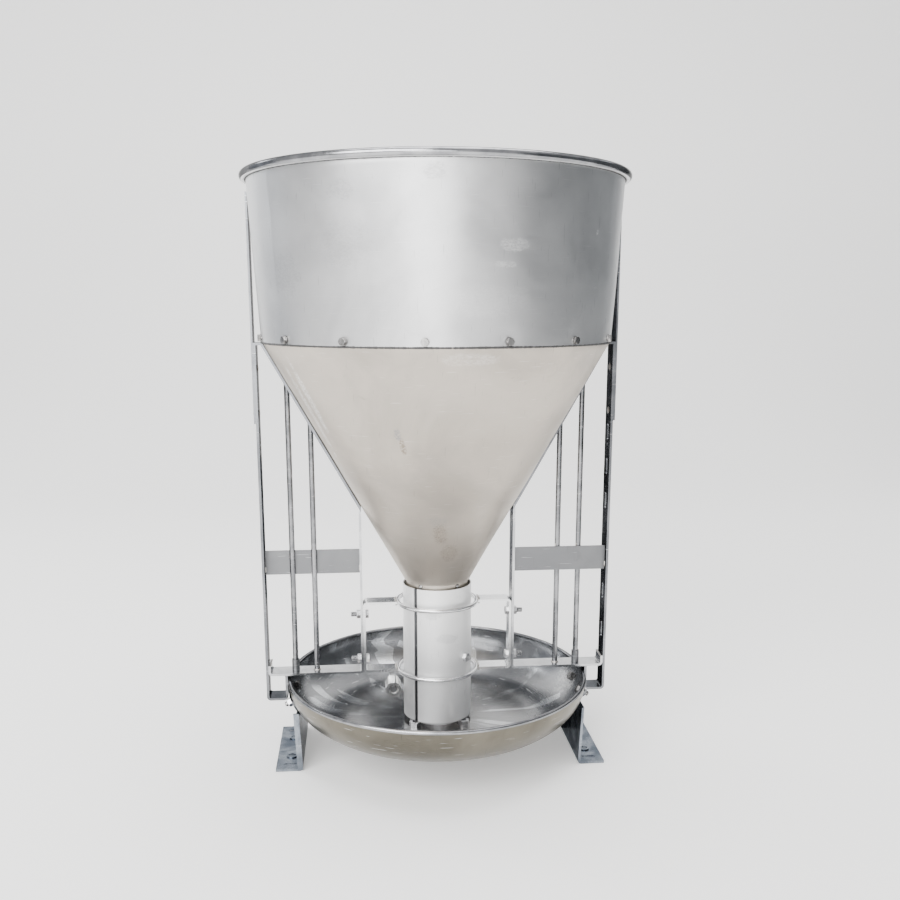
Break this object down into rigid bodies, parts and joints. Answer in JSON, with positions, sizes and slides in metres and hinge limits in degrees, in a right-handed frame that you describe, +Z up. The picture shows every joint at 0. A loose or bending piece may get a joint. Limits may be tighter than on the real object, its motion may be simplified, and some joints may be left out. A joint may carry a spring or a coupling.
{
  "type": "round hog feeder",
  "caption": "Stainless feeder: open conical hopper over a drop tube and round trough, held between two barred side panels on bent legs, with height brackets and a drinker nipple.",
  "frame": {"origin": "on the floor under the axis of hopper, tube and trough", "axes": "+Z up along that axis, +X towards the right-hand post, -Y towards the front"},
  "size_m": [0.6058, 0.6056, 0.9563],
  "materials": {
    "stainless_sheet": "satin",
    "trough_sheet": "satin",
    "stainless_bar": "satin",
    "stainless_fastener": "polished",
    "galvanised_steel": "spangled zinc",
    "nipple_steel": "polished",
    "seal_rubber": "matt"
  },
  "bodies": {
    "frame": {"band_plate_left": "stainless_bar", "band_plate_right": "stainless_bar", "hopper_band": "stainless_sheet", "hopper_cone": "stainless_sheet", "hopper_neck": "stainless_sheet", "hopper_rim_wire": "stainless_sheet", "hopper_strap_left": "stainless_bar", "hopper_strap_right": "stainless_bar", "incline_bar_left": "stainless_bar", "incline_bar_right": "stainless_bar", "inner_rods": "stainless_bar", "leg_left": "galvanised_steel", "leg_right": "galvanised_steel", "neck_rivets": "stainless_fastener", "outer_rods": "stainless_bar", "panel_frame_left": "stainless_bar", "panel_frame_right": "stainless_bar", "post_left": "stainless_bar", "post_right": "stainless_bar", "rod_sleeves": "stainless_bar", "saddle_bolts": "stainless_fastener", "saddle_nuts": "stainless_fastener", "seam_bolts": "stainless_fastener", "seam_nuts": "stainless_fastener", "spacer_nuts": "stainless_fastener", "spreader_cone": "trough_sheet", "strap_rivets": "stainless_fastener", "trough_pan": "trough_sheet", "trough_rim_wire": "trough_sheet", "trough_saddle_left": "stainless_bar", "trough_saddle_right": "stainless_bar"},
    "carriage": {"c_bracket_left": "stainless_bar", "c_bracket_right": "stainless_bar", "upper_ring": "stainless_bar", "lower_ring": "stainless_bar", "bracket_bolts": "stainless_fastener", "bracket_nuts": "stainless_fastener", "nipple_body": "nipple_steel", "nipple_seal": "seal_rubber", "nipple_strainer": "nipple_steel", "nipple_stay": "nipple_steel"},
    "tube": {"drop_tube": "stainless_sheet", "tube_seam_strip": "stainless_sheet", "tube_stop_bolts": "stainless_fastener", "tube_stop_nuts": "stainless_fastener"},
    "pin": {"nipple_pin": "nipple_steel"}
  },
  "joints": [
    {"name": "carriage_height", "type": "slide", "parent": "frame", "child": "carriage", "axis": [0, 0, 1], "range_m": [0, 0.015]},
    {"name": "tube_turn", "type": "hinge", "parent": "frame", "child": "tube", "pos_m": [0, 0, 0.18], "axis": [0, 0, 1], "continuous": true},
    {"name": "pin_push", "type": "slide", "parent": "carriage", "child": "pin", "axis": [0, 1, 0], "range_m": [0, 0.0025], "stiffness_N_per_m": 600, "springref_m": -0.002}
  ]
}
